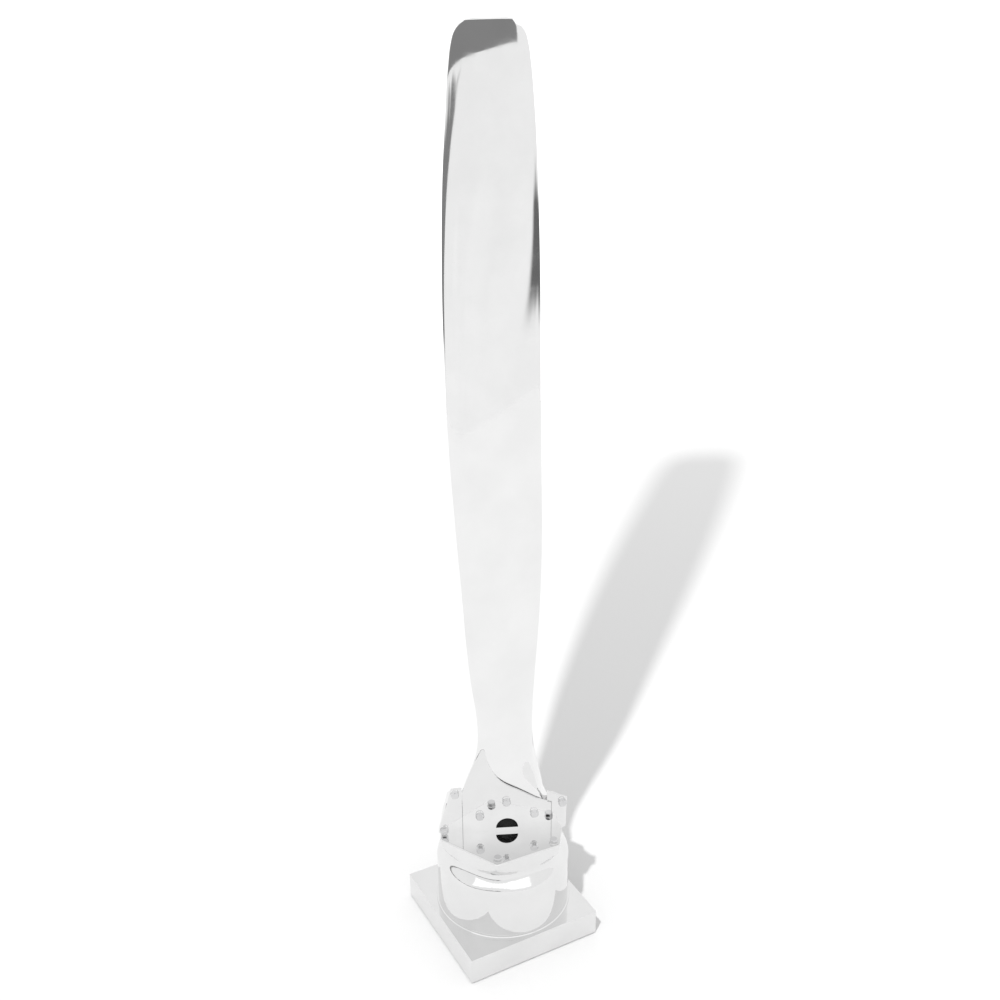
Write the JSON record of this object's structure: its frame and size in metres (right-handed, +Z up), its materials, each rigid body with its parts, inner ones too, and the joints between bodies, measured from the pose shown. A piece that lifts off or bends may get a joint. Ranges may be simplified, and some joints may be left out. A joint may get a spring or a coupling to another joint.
{
  "type": "propeller blade display stand",
  "caption": "Polished aluminium propeller blade with its half hub, standing upright on a six-sided drum and a thick square plinth.",
  "frame": {"origin": "centre of the plinth's underside, on the floor", "axes": "+Z up along the blade; the plinth's front face looks towards -Y and +X is to the right"},
  "size_m": [0.254, 0.254, 1.5474],
  "materials": {
    "blade_aluminium": "mirror polished",
    "plate_aluminium": "mirror polished sheet",
    "drum_aluminium": "polished casting",
    "plinth_aluminium": "polished sheet",
    "bolt_chrome": "bright plated",
    "steel": "plain",
    "black_rubber": "matt black",
    "core_board": "dense fibre board",
    "felt": "pressed felt"
  },
  "bodies": {
    "root": {"base_felt": "felt", "base_cover": "plinth_aluminium", "base_core": "core_board", "base_ballast": "steel", "base_bolts": "steel", "drum_ring": "drum_aluminium", "drum_floor": "steel", "drum_body": "drum_aluminium", "drum_top_backing": "steel", "cap_bolts": "bolt_chrome", "cap_washers": "bolt_chrome", "tie_rods": "steel", "tie_rod_washers": "steel", "tie_rod_nuts": "steel", "blade": "blade_aluminium", "bore_insert": "black_rubber", "front_face_plate": "plate_aluminium", "rear_face_plate": "plate_aluminium", "hub_bolts": "bolt_chrome", "hub_washers": "bolt_chrome", "hub_nuts": "bolt_chrome", "left_bracket": "plate_aluminium", "right_bracket": "plate_aluminium", "left_gusset": "drum_aluminium", "right_gusset": "drum_aluminium", "bracket_bolts": "bolt_chrome", "bracket_washers": "bolt_chrome", "side_screws": "steel"}
  },
  "joints": []
}
